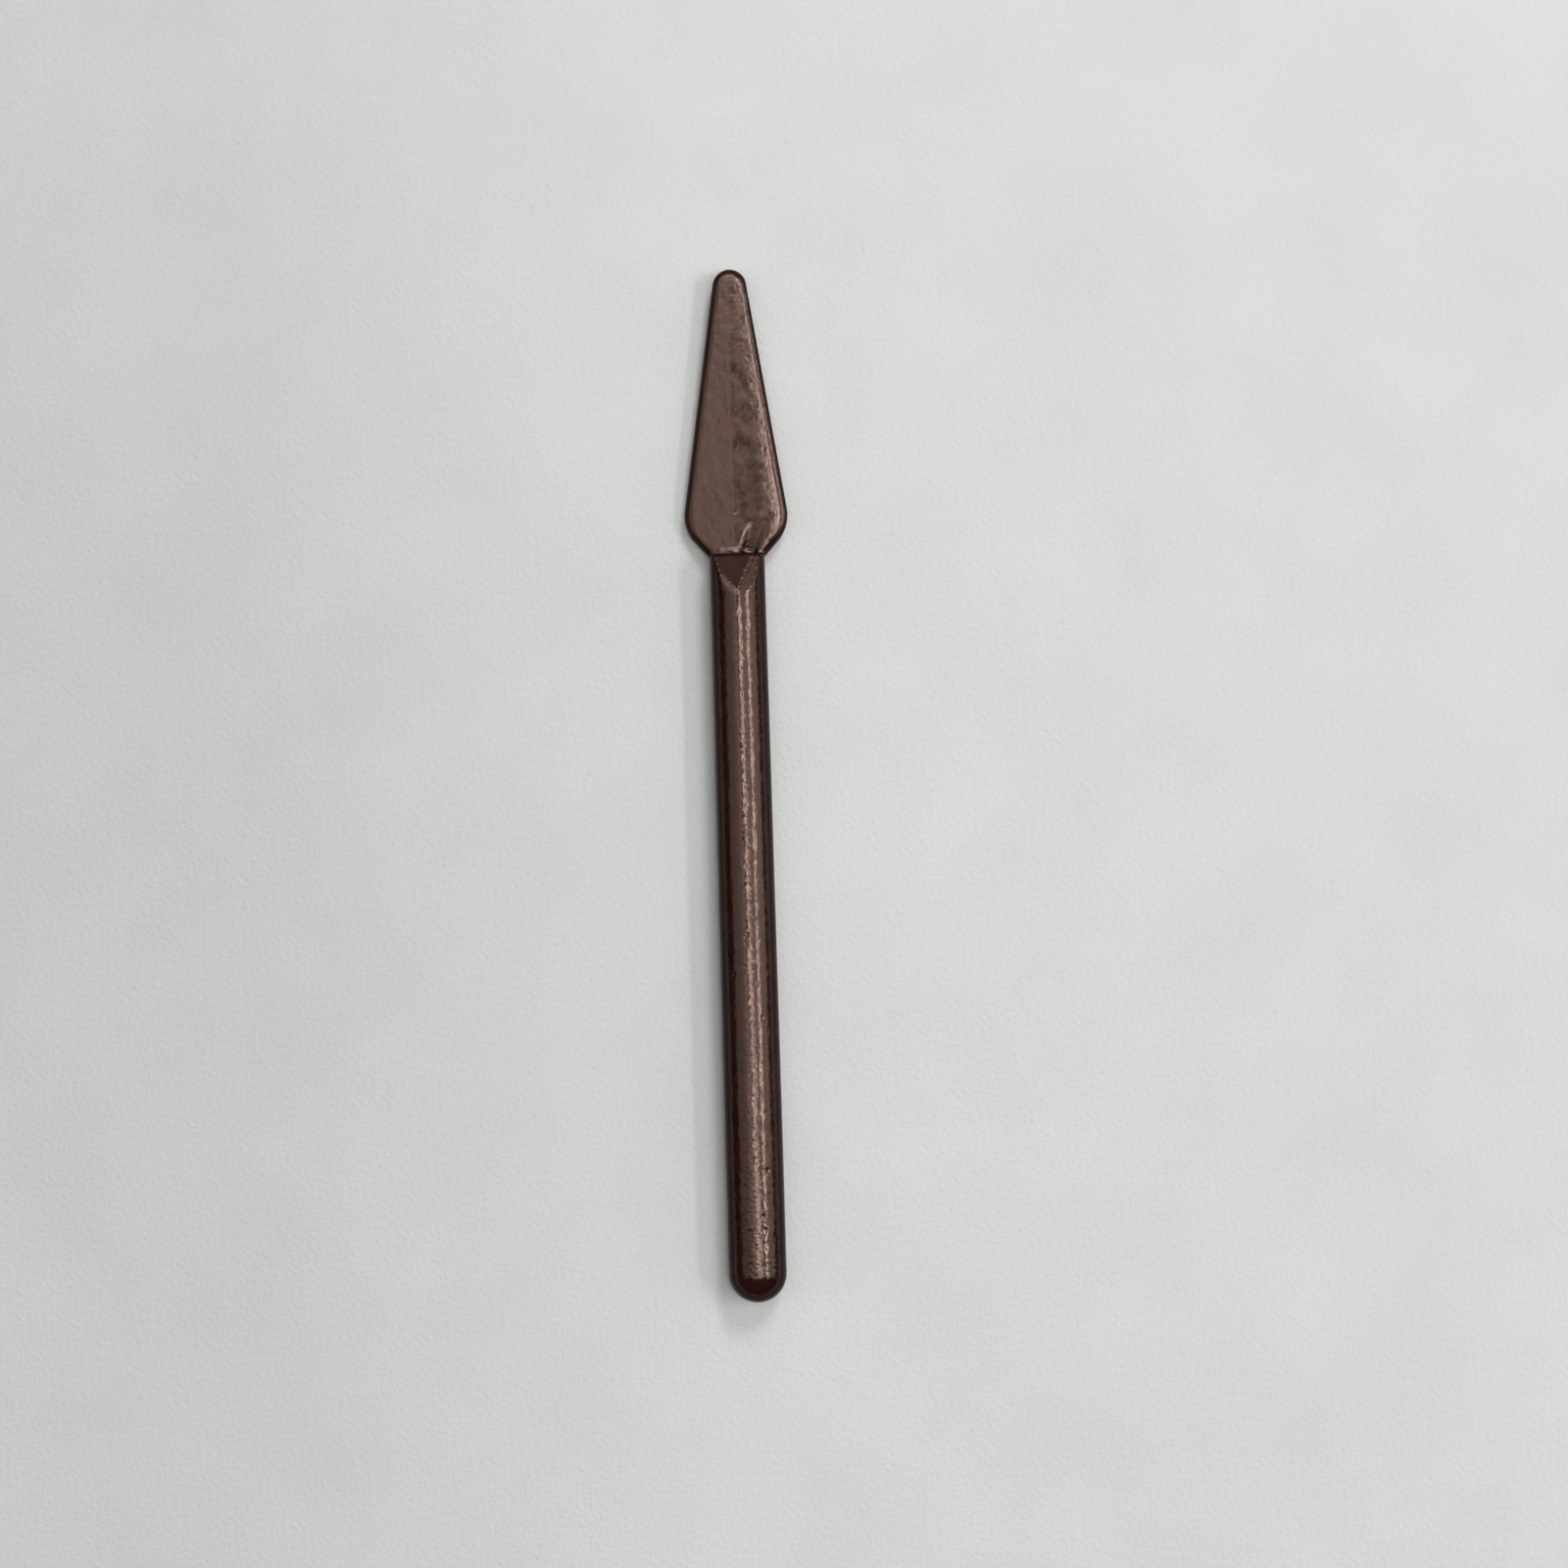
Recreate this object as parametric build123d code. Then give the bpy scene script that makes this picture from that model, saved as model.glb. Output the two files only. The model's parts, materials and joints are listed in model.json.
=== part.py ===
from build123d import *
import math
import os

# One-piece moulded sculpting spatula: a flat leaf-shaped blade, a ramped neck and a round handle.
# All lengths are millimetres and all angles are degrees. +Z is up and the tip points along +Y.
# The tool lies as it does on a bench, and its origin is under the middle of its bounding box.

# ---- driving dimensions ---------------------------------------------------------------------------
overall_length = 100.0      # tip of the blade to the end of the butt

butt_radius = 2.82          # straight stretch of the handle, before its domed end
neck_radius = 2.67          # thin end of the handle, at the neck
straight_length = 12.0      # stretch of the handle that has no taper, measured from the dome
neck_length = 2.0           # stretch that has no taper either, behind the neck's ramp

blade_length = 27.7         # tip to the crisp edge where the neck's ramp ends
blade_width = 10.0          # across the shoulders
tip_radius = 1.65           # round of the tip, seen from above
shoulder_radius = 3.8       # round of each shoulder, seen from above
shoulder_station = 23.8     # tip to the widest place
root_thickness = 2.35       # blade at its centre line, where it meets the neck
tip_thickness = 1.8         # blade at its centre line, at the tip
edge_round = 0.65           # rounding all round the blade's rim
tip_rise = 1.05             # how far the underside has lifted off the bench at the tip
crown_radius = 70.0         # slight crown of the blade's face, from side to side

ramp_length = 3.35          # flat ramp that is cut into the top of the neck, seen from above
ramp_slope = 20           # fall of the ramp towards the blade
wall_slope = 80           # fall of the short steep wall between the ramp and the blade's face
ramp_edge_round = 0.35      # rounding of the ramp's two curved sides
wall_foot_round = 0.6      # hollow where the steep wall meets the blade
heel_reach = 1.6            # how far the blade's root runs on under the handle, behind the crisp edge
heel_width = 2.8            # width of the root's end, under the handle

# ---- clearances that tie the stretches of the shape together --------------------------------------
overlap = 0.3               # how far one stretch reaches into the next, so that they fuse
heel_step = 0.1             # least height of the neck's underside above the blade's heel
tongue = 1.2                # how far the handle's core runs on inside the blade, past the steep wall
touching = 0.01             # two places this near each other count as one
upright_share = 0.9         # an edge that climbs more steeply than this stands upright

# ---- stations along the tool, worked out from the sizes above -------------------------------------
tip_y = overall_length / 2
butt_y = -overall_length / 2
edge_y = tip_y - blade_length
apex_y = edge_y - ramp_length
widest_y = tip_y - shoulder_station
dome_y = butt_y + butt_radius
taper_y = dome_y + straight_length
neck_y = apex_y - neck_length
root_y = edge_y - heel_reach
past_y = tip_y + overlap
axis_z = max(butt_radius, neck_radius + heel_step)
high_z = axis_z + 2 * butt_radius


def blade_top(y):
    """Height of the blade's centre line above the bench."""
    share = (y - edge_y) / (tip_y - edge_y)
    return root_thickness + share * (tip_rise + tip_thickness - root_thickness)


apex_z = axis_z + neck_radius
edge_z = apex_z - ramp_length * math.tan(math.radians(ramp_slope))
wall_run = (edge_z - blade_top(edge_y)) / math.tan(math.radians(wall_slope))
foot_y = edge_y + wall_run
front_y = foot_y + tongue


def handle():
    """Handle turned about its own axis: domed butt, straight stretch, slight taper, straight neck."""
    half_way = butt_radius * math.sin(math.radians(45))
    dome = ThreePointArc((butt_y, 0), (dome_y - half_way, half_way), (dome_y, butt_radius))
    rest = Polyline(
        (dome_y, butt_radius),
        (taper_y, butt_radius),
        (neck_y, neck_radius),
        (front_y, neck_radius),
        (front_y, 0),
        (butt_y, 0),
    )
    turned = revolve(make_face([dome, *rest.edges()]), axis=Axis.X)
    # turned about X, then laid along Y with its underside on the bench
    return Pos(0, 0, axis_z) * Rot(Z=90) * turned


def ramp_cutter():
    """Everything above the ramp, the steep wall and the blade's face, wider than the handle."""
    back_y = apex_y - (high_z - apex_z) / math.tan(math.radians(ramp_slope))
    foot = (foot_y, blade_top(foot_y))
    outline = make_face(
        Polyline(
            (back_y, high_z),
            (edge_y, edge_z),
            foot,
            (front_y, blade_top(front_y) - overlap),
            (past_y, blade_top(front_y) - overlap),
            (past_y, high_z),
            close=True,
        )
    )
    foot_corner = outline.vertices().sort_by_distance(foot)[0]
    hollowed = fillet(foot_corner, wall_foot_round)
    return extrude(Plane.YZ * hollowed, amount=2 * butt_radius, both=True)


def blade_outline():
    """Leaf seen from above: round tip, straight flaring sides, round shoulders, root under the handle."""
    # each circle is turned so that the place where it begins and ends lies inside the leaf
    shoulder_x = blade_width / 2 - shoulder_radius
    tip = Pos(0, tip_y - tip_radius) * Rot(Z=-90) * Circle(tip_radius)
    right = Pos(shoulder_x, widest_y) * Rot(Z=180) * Circle(shoulder_radius)
    left = Pos(-shoulder_x, widest_y) * Circle(shoulder_radius)
    root = Line((-heel_width / 2, root_y), (heel_width / 2, root_y))
    return make_hull([*tip.edges(), *right.edges(), *left.edges(), root])


def blade_profile():
    """Blade seen from the side: flat heel, underside curving up to the tip, open above."""
    lift_radius = ((tip_y - widest_y) ** 2 + tip_rise**2) / (2 * tip_rise)
    sweep = math.asin((past_y - widest_y) / lift_radius)
    underside = [
        (widest_y + lift_radius * math.sin(turn), lift_radius * (1 - math.cos(turn)))
        for turn in (0, sweep / 2, sweep)
    ]
    lift = ThreePointArc(*underside)
    rest = Polyline(underside[2], (past_y, high_z), (root_y, high_z), (root_y, 0), underside[0])
    return make_face([lift, *rest.edges()])


def crown():
    """Great round bar whose top line is the blade's centre line."""
    centre_line = Vector(0, tip_y - root_y, blade_top(tip_y) - blade_top(root_y))
    level = Plane(origin=(0, root_y, blade_top(root_y)), x_dir=(-1, 0, 0), z_dir=centre_line)
    return level * Pos(0, -crown_radius) * Cylinder(crown_radius, 2 * overall_length)


def rim(leaf):
    """Edges round the blade's face and underside, but not those that cross it at the root and heel."""
    edges = []
    for edge in leaf.edges():
        upright = abs((edge % 0.5).Z) > upright_share
        crosses = abs(edge.center().X) < touching and edge.center().Y < widest_y + touching
        if not upright and not crosses:
            edges.append(edge)
    return edges


def blade():
    """Blade with its outline from above, its profile from the side, its crown and its soft rim."""
    leaf = extrude(Plane.YZ * blade_profile(), amount=blade_width, both=True)
    leaf &= extrude(blade_outline(), amount=high_z, both=True)
    leaf &= crown()
    return fillet(rim(leaf), edge_round)


def ramped_handle():
    """Handle with the ramp cut into its top, and the ramp's curved sides softened."""
    cut = handle() - ramp_cutter()
    ramp_sides = cut.edges().filter_by(lambda edge: apex_y - touching < edge.bounding_box().min.Y < edge_y)
    longest = ramp_sides.filter_by(GeomType.ELLIPSE).sort_by(SortBy.LENGTH)[-1]
    return fillet(longest, ramp_edge_round)


moulding = ramped_handle() + blade()
moulding.label = "spatula_moulding"
os.makedirs("parts", exist_ok=True)
export_step(moulding, "parts/spatula_moulding.step")
print("spatula_moulding", "valid" if moulding.is_valid else "not valid", round(moulding.volume, 1), "cubic mm")
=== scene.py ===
import json
import math
import random

import bpy
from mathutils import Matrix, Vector


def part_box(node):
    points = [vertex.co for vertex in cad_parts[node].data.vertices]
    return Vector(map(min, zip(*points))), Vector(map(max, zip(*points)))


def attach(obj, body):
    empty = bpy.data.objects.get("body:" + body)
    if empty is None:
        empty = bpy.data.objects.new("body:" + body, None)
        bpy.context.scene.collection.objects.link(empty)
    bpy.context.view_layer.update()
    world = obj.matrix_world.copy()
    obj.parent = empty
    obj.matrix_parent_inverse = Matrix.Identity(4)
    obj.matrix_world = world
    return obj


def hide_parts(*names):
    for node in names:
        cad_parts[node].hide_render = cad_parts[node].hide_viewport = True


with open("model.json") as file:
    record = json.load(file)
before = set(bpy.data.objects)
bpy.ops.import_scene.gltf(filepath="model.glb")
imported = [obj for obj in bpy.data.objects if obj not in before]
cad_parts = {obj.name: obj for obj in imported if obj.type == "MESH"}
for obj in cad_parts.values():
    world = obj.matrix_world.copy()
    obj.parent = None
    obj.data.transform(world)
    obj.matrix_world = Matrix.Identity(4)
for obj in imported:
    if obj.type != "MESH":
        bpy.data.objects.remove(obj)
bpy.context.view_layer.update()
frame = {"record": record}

# ---- sizes of the spatula, in metres -------------------------------------------------------------
mm = 0.001
low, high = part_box("spatula_moulding")
mounts = {mount["name"]: mount for mount in frame["record"]["mounts"]}
butt_mount = mounts["handle_butt"]
skin = 0.012 * mm           # how far the finished mesh stays inside the moulding's box

axis_z = butt_mount["pos_m"][2]
butt_radius = butt_mount["dims"]["r_mm"] * mm - skin
straight_length = butt_mount["dims"]["length_mm"] * mm
neck_radius = 2.67 * mm
neck_length = 2.0 * mm

blade_length = 27.7 * mm    # tip to the crisp edge where the ramp ends
blade_width = high.x - low.x
tip_radius = 1.65 * mm
shoulder_radius = 3.8 * mm
shoulder_station = 23.8 * mm
root_thickness = 2.35 * mm
tip_thickness = 1.8 * mm
edge_round = 0.65 * mm
tip_rise = 1.05 * mm
heel_reach = 1.6 * mm
heel_width = 2.8 * mm
stock_height = 8 * mm       # rough height of the blade before it is planed

ridge_x = -0.2 * mm         # low ridge between the two flats of the blade's face
left_fall = math.tan(math.radians(7))
right_fall = math.tan(math.radians(-3.2))
roll_width = 1.9 * mm       # strip along the right rim that rolls down
roll_radius = 23 * mm
roll_narrowing = 0.78       # the strip turns less than the side does, so it narrows to the tip

ramp_length = 3.35 * mm
ramp_slope = math.radians(20)
ramp_lean = math.radians(4)
flank_lean = math.radians(12)
wall_slope = math.radians(89)

tip_y = high.y - skin
butt_y = low.y + skin
edge_y = tip_y - blade_length
apex_y = edge_y - ramp_length
neck_y = apex_y - neck_length
root_y = edge_y - heel_reach
widest_y = tip_y - shoulder_station
dome_y = butt_y + butt_radius
taper_y = dome_y + straight_length
core_y = edge_y + 2 * mm    # where the handle's core ends, inside the blade
ramp_drop = ramp_length * math.tan(ramp_slope)
edge_z = axis_z + neck_radius - ramp_drop
face_rise = (tip_rise + tip_thickness - root_thickness) / (tip_y - edge_y)


def blade_top(y):
    """Height of the blade's centre line above the bench."""
    return root_thickness + (y - edge_y) * face_rise


# ---- small helpers for working by hand -----------------------------------------------------------
def deselect():
    bpy.ops.object.select_all(action="DESELECT")


def active(name):
    piece = bpy.context.object
    piece.name = name
    piece.data.name = name
    return piece


def take(piece):
    deselect()
    piece.select_set(True)
    bpy.context.view_layer.objects.active = piece


def settle(piece):
    """Puts the piece's place into its mesh and leaves its object at the origin."""
    take(piece)
    bpy.ops.object.transform_apply(location=True, rotation=True, scale=True)


def edit(piece):
    take(piece)
    bpy.ops.object.mode_set(mode="EDIT")
    bpy.ops.mesh.select_mode(type="VERT")


def leave():
    bpy.ops.object.mode_set(mode="OBJECT")


def choose(piece, chosen):
    """Selects only the vertices that are chosen, and stays in edit mode."""
    edit(piece)
    bpy.ops.mesh.select_all(action="DESELECT")
    leave()
    for vertex in piece.data.vertices:
        if chosen(vertex):
            vertex.select = True
    edit(piece)


def finish_modifier(piece, kind, **settings):
    take(piece)
    modifier = piece.modifiers.new(kind.lower(), kind)
    for key, value in settings.items():
        setattr(modifier, key, value)
    bpy.ops.object.modifier_apply(modifier=modifier.name)


def soften(piece, name, chosen, rounds):
    """Smooths only the vertices whose places are chosen."""
    group = piece.vertex_groups.new(name=name)
    group.add([vertex.index for vertex in piece.data.vertices if chosen(vertex.co)], 1.0, "REPLACE")
    finish_modifier(piece, "SMOOTH", factor=0.5, iterations=rounds, vertex_group=name)


def plane_off(piece, point, outward):
    """Cuts the piece with a plane, throws away the outer side and closes the cut."""
    edit(piece)
    bpy.ops.mesh.select_all(action="SELECT")
    bpy.ops.mesh.bisect(
        plane_co=point, plane_no=outward, use_fill=True, clear_outer=True, threshold=1e-8
    )
    leave()


# ---- the handle, turned as on a lathe ------------------------------------------------------------
def turn_handle():
    """Profile drawn from the pole of the butt to the core inside the blade, then spun."""
    dome_steps = 20
    profile = []
    for step in range(1, dome_steps + 1):
        turn = step / dome_steps * math.pi / 2
        profile.append((dome_y - butt_radius * math.cos(turn), butt_radius * math.sin(turn)))
    profile += [(taper_y, butt_radius), (neck_y, neck_radius), (core_y, neck_radius), (core_y, 0)]

    deselect()
    bpy.ops.mesh.primitive_plane_add(size=mm, location=(0, butt_y, axis_z))
    handle = active("handle")
    settle(handle)
    edit(handle)
    bpy.ops.mesh.select_all(action="SELECT")
    bpy.ops.mesh.merge(type="CENTER")
    here = (butt_y, 0.0)
    for there in profile:
        bpy.ops.mesh.extrude_region_move(
            TRANSFORM_OT_translate={"value": (0, there[0] - here[0], there[1] - here[1])}
        )
        here = there
    bpy.ops.mesh.select_all(action="SELECT")
    bpy.ops.mesh.spin(
        steps=96, angle=math.tau, center=(0, 0, axis_z), axis=(0, 1, 0), use_auto_merge=True
    )
    bpy.ops.mesh.select_all(action="SELECT")
    bpy.ops.mesh.remove_doubles(threshold=0.001 * mm)
    bpy.ops.mesh.normals_make_consistent(inside=False)
    leave()
    return handle


def cut_ramp(handle):
    """Planes the ramp, the steep wall under its crisp edge, and a narrow flat down each side."""
    crisp_edge = (0, edge_y, edge_z)
    ramp_out = (-math.sin(ramp_lean), math.sin(ramp_slope), math.cos(ramp_slope))
    plane_off(handle, crisp_edge, ramp_out)
    plane_off(handle, crisp_edge, (0, math.sin(wall_slope), math.cos(wall_slope)))
    apex = (0, apex_y, axis_z + neck_radius)
    corner_x = math.sqrt(neck_radius**2 - (neck_radius - ramp_drop) ** 2)
    tilt = (ramp_drop * math.cos(flank_lean) - corner_x * math.sin(flank_lean)) / ramp_length
    for side in (-1, 1):
        plane_off(handle, apex, (side * math.sin(flank_lean), tilt, math.cos(flank_lean)))


# ---- the blade, sawn to its outline and planed to its section ------------------------------------
def post(radius, x, y):
    bpy.ops.mesh.primitive_cylinder_add(
        vertices=72, radius=radius, depth=stock_height, location=(x, y, 0)
    )
    return bpy.context.object


def saw_outline():
    """Upright posts for the tip, the shoulders and the root, wrapped in one tight skin."""
    deselect()
    shoulder_x = blade_width / 2 - shoulder_radius
    posts = [
        post(tip_radius, 0, tip_y - tip_radius),
        post(shoulder_radius, shoulder_x, widest_y),
        post(shoulder_radius, -shoulder_x, widest_y),
    ]
    bpy.ops.mesh.primitive_cube_add(
        size=1, location=(0, root_y + mm / 2, 0), scale=(heel_width, mm, stock_height)
    )
    posts.append(bpy.context.object)
    deselect()
    for piece in posts:
        piece.select_set(True)
    bpy.ops.object.join()
    blade = active("blade")
    settle(blade)
    edit(blade)
    bpy.ops.mesh.select_all(action="SELECT")
    bpy.ops.mesh.convex_hull(join_triangles=True)
    leave()
    return blade


def plane_underside(blade):
    """Planes the underside up towards the tip in narrow strokes that follow one arc."""
    lift_radius = ((tip_y - widest_y) ** 2 + tip_rise**2) / (2 * tip_rise)
    lift = math.asin((tip_y - widest_y) / lift_radius)
    strokes = 10
    for stroke in range(strokes + 1):
        turn = stroke / strokes * lift
        touch_y = widest_y + lift_radius * math.sin(turn)
        touch_z = skin + lift_radius * (1 - math.cos(turn))
        plane_off(blade, (0, touch_y, touch_z), (0, math.sin(turn), -math.cos(turn)))


def plane_face(blade):
    """Planes the face into two long flats that meet in a low ridge."""
    ridge_point = (ridge_x, edge_y, blade_top(edge_y))
    plane_off(blade, ridge_point, (-left_fall, -face_rise, 1))
    plane_off(blade, ridge_point, (right_fall, -face_rise, 1))


def roll_off(blade):
    """Rolls the right flat down towards the rim, along the side and round the shoulder."""
    side_run = tip_y - tip_radius - widest_y
    side_turn = math.asin((blade_width / 2 - tip_radius) / side_run * 0.98)
    first_turn = roll_narrowing * side_turn
    last_turn = -math.radians(50)
    turns = 9
    strokes = 6
    for step in range(turns + 1):
        turn = first_turn + step / turns * (last_turn - first_turn)
        outward = Vector((math.cos(turn), math.sin(turn)))
        shoulder = Vector((blade_width / 2 - shoulder_radius, widest_y))
        rim_point = shoulder + shoulder_radius * outward
        for stroke in range(1, strokes + 1):
            inset = roll_width * (1 - stroke / strokes) + edge_round
            travel = roll_width + edge_round - inset
            steep = travel / roll_radius
            x, y = rim_point - inset * outward
            z = blade_top(y) - right_fall * (x - ridge_x) - travel**2 / (2 * roll_radius)
            rolled = (right_fall + steep * outward.x, -face_rise + steep * outward.y, 1)
            plane_off(blade, (x, y, z), rolled)


def round_rim(blade):
    finish_modifier(
        blade, "BEVEL", width=edge_round, segments=8, limit_method="ANGLE",
        angle_limit=math.radians(50), use_clamp_overlap=False,
    )


# ---- the marks of moulding and use ---------------------------------------------------------------
def near_ramp_side(place):
    """Close to the sides of the ramp, but clear of the crisp edge."""
    if not apex_y - 0.6 * mm < place.y < edge_y - 0.35 * mm:
        return False
    ramp_z = edge_z + (edge_y - place.y) * math.tan(ramp_slope)
    off_axis = math.hypot(place.x, place.z - axis_z)
    near_ramp = abs(place.z - ramp_z) < 0.8 * mm
    return place.z > axis_z and near_ramp and off_axis > neck_radius - 0.7 * mm


def near_hollow(place):
    """Round the hollow in the heel of the blade's face."""
    if not edge_y + 0.61 * mm < place.y < edge_y + 4.31 * mm:
        return False
    return 0 < place.x < 3.6 * mm and place.z > 1.0 * mm


def tilt_patch(piece, x, y, half_width, half_length, slant, angle):
    """Tilts a patch of the blade's face about its far end; a positive angle lifts its heel end."""
    def in_patch(vertex):
        off_x = vertex.co.x - x
        off_y = vertex.co.y - y
        along = off_x * math.sin(slant) + off_y * math.cos(slant)
        across = off_x * math.cos(slant) - off_y * math.sin(slant)
        if (across / half_width) ** 4 + (along / half_length) ** 4 >= 1:
            return False
        return vertex.normal.z > 0.8 and vertex.co.z < edge_z - 0.6 * mm

    choose(piece, in_patch)
    bpy.ops.transform.rotate(
        value=angle, orient_axis="X",
        center_override=(x, y + half_length * math.cos(slant), blade_top(y)),
        use_proportional_edit=True, proportional_edit_falloff="SMOOTH",
        proportional_size=0.35 * mm, use_proportional_connected=True,
    )
    leave()


def sink_hollow(piece):
    """Shallow hollow in the heel of the face, right of the ridge and open towards the wall."""
    tilt_patch(
        piece, x=1.65 * mm, y=edge_y + 1.812 * mm, half_width=0.6 * mm, half_length=1.8 * mm,
        slant=math.radians(20), angle=math.radians(-6),
    )
    soften(piece, "hollow", near_hollow, 8)


def raise_lip(piece):
    """Low lip of plastic along the foot of the wall, left of the hollow."""
    tilt_patch(
        piece, x=-0.6 * mm, y=edge_y + 0.5 * mm, half_width=1.1 * mm, half_length=0.3 * mm,
        slant=0, angle=math.radians(9),
    )


def dent(piece):
    """Presses the small nicks of use into the top of the handle, and one into the blade."""
    nicks = 26
    nick_depth = 0.045 * mm
    chance = random.Random(11)
    centres = []
    for nick in range(nicks):
        y = chance.uniform(dome_y, neck_y)
        turn = chance.gauss(0.1, 0.3)
        x = butt_radius * math.sin(turn)
        centres.append(Vector((x, y, axis_z + butt_radius * math.cos(turn))))
    centres.append(Vector((0, widest_y + 0.3 * mm, blade_top(widest_y))))
    reaches = [chance.uniform(0.1, 0.17) * mm for centre in centres]
    nicked = list(zip(centres, reaches))

    def in_nick(vertex):
        return any((vertex.co - centre).length < reach for centre, reach in nicked)

    choose(piece, in_nick)
    bpy.ops.transform.shrink_fatten(value=-nick_depth)
    leave()


# ---- the whole moulding --------------------------------------------------------------------------
def make_moulding():
    handle = turn_handle()
    cut_ramp(handle)
    blade = saw_outline()
    plane_underside(blade)
    plane_face(blade)
    roll_off(blade)
    round_rim(blade)
    take(handle)
    blade.select_set(True)
    bpy.ops.object.join()
    moulding = active("moulding")
    finish_modifier(
        moulding, "REMESH", mode="VOXEL", voxel_size=0.15 * mm, adaptivity=0.0, use_smooth_shade=True
    )
    finish_modifier(moulding, "SMOOTH", factor=0.5, iterations=2)
    soften(moulding, "ramp_sides", near_ramp_side, 8)
    sink_hollow(moulding)
    raise_lip(moulding)
    dent(moulding)
    take(moulding)
    bpy.ops.object.shade_smooth()
    return moulding


# ---- looks ---------------------------------------------------------------------------------------
class Shade:
    """A node material built step by step."""

    def __init__(self, name):
        self.material = bpy.data.materials.new(name)
        self.material.use_nodes = True
        self.tree = self.material.node_tree
        self.shader = self.tree.nodes["Principled BSDF"]
        self.place = self.tree.nodes.new("ShaderNodeTexCoord").outputs["Object"]

    def node(self, kind, **sockets):
        """Adds a node. Each named socket is given a number, a colour or another node's output."""
        made = self.tree.nodes.new("ShaderNode" + kind)
        for name, value in sockets.items():
            self.feed(made.inputs[name.replace("_", " ")], value)
        return made

    def feed(self, socket, value):
        if isinstance(value, bpy.types.NodeSocket):
            self.tree.links.new(value, socket)
        else:
            socket.default_value = value

    def surface(self, name, value):
        """Sets one of the shader's own sockets."""
        self.feed(self.shader.inputs[name], value)

    def noise(self, size, detail=2.0):
        """Soft random pattern whose spots are about this many metres across."""
        node = self.node("TexNoise", Vector=self.place, Scale=1 / size, Detail=detail, Roughness=0.5)
        return node.outputs["Fac"]

    def spread(self, value, low_in, high_in, low_out, high_out):
        """Turns one range of a value into another, and stops at its ends."""
        node = self.node(
            "MapRange", Value=value,
            From_Min=low_in, From_Max=high_in, To_Min=low_out, To_Max=high_out,
        )
        return node.outputs["Result"]

    def blend(self, share, first, second):
        """Passes from the first colour to the second as the share goes from 0 to 1."""
        mix = self.tree.nodes.new("ShaderNodeMix")
        mix.data_type = "RGBA"
        self.feed(mix.inputs["Factor"], share)
        colours = [socket for socket in mix.inputs if socket.type == "RGBA"]
        self.feed(colours[0], first)
        self.feed(colours[1], second)
        return [socket for socket in mix.outputs if socket.type == "RGBA"][0]

    def bump(self, height, depth, below=None):
        node = self.node("Bump", Height=height, Distance=depth, Strength=1.0)
        if below is not None:
            self.feed(node.inputs["Normal"], below)
        return node.outputs["Normal"]


def brown_plastic():
    """Dark chocolate plastic: clouded colour, patchy gloss, and a grain that is coarser on the handle."""
    deep_brown = (0.013, 0.0043, 0.0031, 1)
    warm_brown = (0.023, 0.0072, 0.0052, 1)
    shade = Shade("brown_plastic")
    along = shade.node("SeparateXYZ", Vector=shade.place).outputs["Y"]
    on_blade = shade.spread(along, edge_y, edge_y + 1.5 * mm, 0, 1)

    clouds = shade.spread(shade.noise(3.0 * mm, detail=3.0), 0.35, 0.65, 0, 1)
    shade.surface("Base Color", shade.blend(clouds, deep_brown, warm_brown))

    patches = shade.noise(1.2 * mm, detail=3.0)
    handle_rough = shade.spread(patches, 0.3, 0.7, 0.1, 0.19)
    blade_rough = shade.spread(patches, 0.3, 0.7, 0.15, 0.26)
    shade.surface("Roughness", shade.spread(on_blade, 0, 1, handle_rough, blade_rough))
    shade.surface("IOR", 1.59)
    shade.surface("Specular Tint", (1, 0.7, 0.58, 1))
    grazing = shade.node("LayerWeight", Blend=0.5).outputs["Facing"]
    shade.surface("Specular IOR Level", shade.spread(grazing, 0.2, 0.45, 0.5, 0.03))

    orange_peel = shade.bump(shade.noise(0.9 * mm, detail=1.0), 0.03 * mm)
    grain_depth = shade.spread(on_blade, 0, 1, 0.037 * mm, 0.012 * mm)
    shade.surface("Normal", shade.bump(shade.noise(0.35 * mm), grain_depth, orange_peel))
    return shade.material


def pale_floor():
    dull_white = (0.6, 0.6, 0.59, 1)
    clean_white = (0.63, 0.63, 0.62, 1)
    shade = Shade("pale_floor")
    clouds = shade.spread(shade.noise(14 * mm), 0.3, 0.7, 0, 1)
    shade.surface("Base Color", shade.blend(clouds, dull_white, clean_white))
    shade.surface("Roughness", 0.6)
    shade.surface("Normal", shade.bump(shade.noise(0.5 * mm), 0.08 * mm))
    return shade.material


def black_card():
    shade = Shade("black_card")
    shade.surface("Base Color", (0.01, 0.01, 0.01, 1))
    shade.surface("Roughness", 0.9)
    return shade.material


# ---- the studio ----------------------------------------------------------------------------------
def lay_floor():
    deselect()
    bpy.ops.mesh.primitive_plane_add(size=3, location=(0, 0, low.z))
    floor = active("floor")
    settle(floor)
    floor.data.materials.append(pale_floor())


def soft_box(name, first, last, radiance, near_y=-0.27, far_y=0.4, only_gloss=False):
    """Flat lamp over the bench, between two angles in degrees right of straight overhead.

    It reaches from near_y to far_y along the tool, in metres. Its radiance is in watts per
    steradian and square metre. A lamp that is only for gloss shows in reflections alone.
    """
    lamp_distance = 1.2
    middle = math.radians((first + last) / 2)
    width = 2 * lamp_distance * math.tan(math.radians((last - first) / 2))
    x = lamp_distance * math.sin(middle)
    z = lamp_distance * math.cos(middle)
    bpy.ops.object.light_add(
        type="AREA", location=(x, (near_y + far_y) / 2, z), rotation=(0, middle, 0)
    )
    lamp = bpy.context.object
    lamp.name = name
    lamp.data.shape = "RECTANGLE"
    lamp.data.size = width
    lamp.data.size_y = far_y - near_y
    lamp.data.energy = 4 * radiance * width * (far_y - near_y)
    lamp.visible_diffuse = not only_gloss
    return lamp


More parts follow.
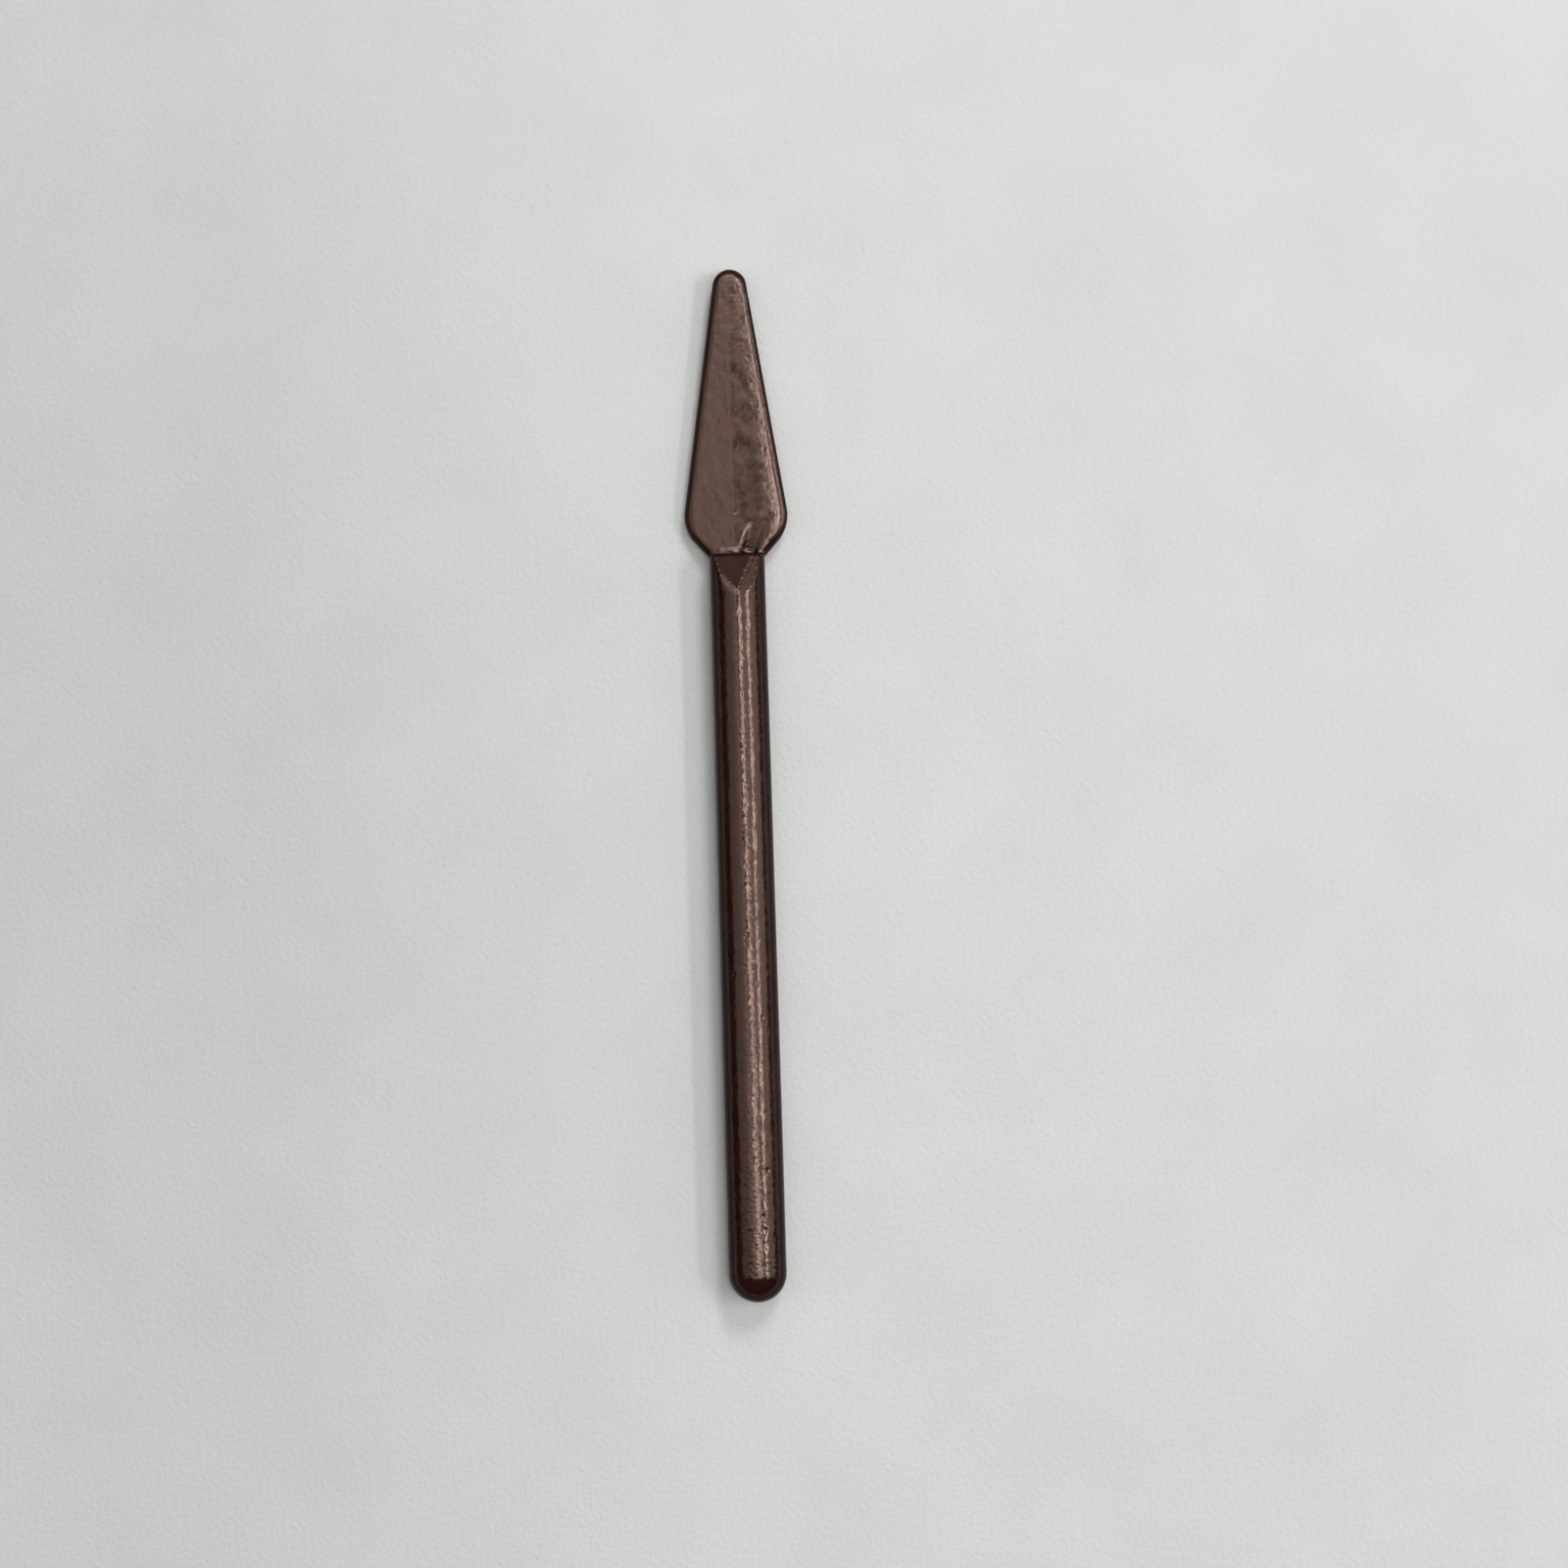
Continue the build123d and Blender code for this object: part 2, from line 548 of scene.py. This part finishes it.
def hang_card():
    """Black card beside the lens that darkens what the tool reflects from straight above."""
    deselect()
    bpy.ops.mesh.primitive_plane_add(size=1, location=(-0.025, 0.03, 0.386))
    card = active("card")
    card.scale = (0.074, 0.16, 1)
    settle(card)
    card.data.materials.append(black_card())
    card.visible_camera = False


def light_studio():
    # two bright tubes make the long highlights, and dim panels fill what lies between and beside them
    soft_box("left_tube", 2.0, 6.6, 13.5, near_y=-0.15, far_y=0.3)
    soft_box("near_tube", 6.0, 19.0, 6.5, far_y=-0.12)
    soft_box("right_tube", 36.8, 40.6, 16.0, far_y=0.3)
    soft_box("middle_panel", 7.0, 36.5, 1.2)
    soft_box("left_near_panel", -16.0, 1.8, 2.0)
    soft_box("left_middle_panel", -34.0, -16.0, 0.8)
    soft_box("left_far_panel", -60.0, -34.0, 0.6)
    soft_box("right_far_panel", 41.0, 74.0, 1.3)
    # lamps behind the tip, for the surfaces that lean towards it: the ramp, its sides and the lip
    soft_box("far_tube", 3.0, 8.0, 5.0, near_y=0.6, far_y=1.2, only_gloss=True)
    soft_box("left_back_panel", -40.0, -16.0, 1.8, near_y=0.4, far_y=0.8, only_gloss=True)
    soft_box("right_back_panel", 16.0, 40.0, 1.1, near_y=0.4, far_y=0.8, only_gloss=True)
    soft_box("lip_tube", -16.0, 0.0, 7.0, near_y=0.3, far_y=0.5, only_gloss=True)
    soft_box("back_panel", -30.0, 5.0, 0.3, near_y=0.7, far_y=1.7)
    # the key throws the soft shadow to the left and towards the butt
    key = soft_box("key_panel", 12.0, 27.0, 16.0, near_y=0.75, far_y=1.4)
    key.visible_glossy = False
    hang_card()

    world = bpy.data.worlds.new("studio")
    world.use_nodes = True
    background = world.node_tree.nodes["Background"]
    background.inputs["Color"].default_value = (1, 1, 1, 1)
    background.inputs["Strength"].default_value = 0.02
    bpy.context.scene.world = world


def set_camera():
    """Straight above the bench, rolled a little, with the tool left of the middle of the view."""
    roll = math.radians(-1.66)
    lens = 90.0
    sensor = 36.0
    view_width = 151.6 * mm
    distance = lens / sensor * view_width
    data = bpy.data.cameras.new("camera")
    data.lens = lens
    data.sensor_width = sensor
    camera = bpy.data.objects.new("camera", data)
    bpy.context.scene.collection.objects.link(camera)
    camera.location = (3.9 * mm, 0.03 * mm, axis_z + distance)
    camera.rotation_euler = (0, 0, roll)
    bpy.context.scene.camera = camera


# ---- putting it together -------------------------------------------------------------------------
set_camera()
moulding = make_moulding()
moulding.data.materials.clear()
moulding.data.materials.append(brown_plastic())
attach(moulding, "root")
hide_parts("spatula_moulding")
lay_floor()
light_studio()
bpy.context.scene.view_settings.view_transform = "Standard"
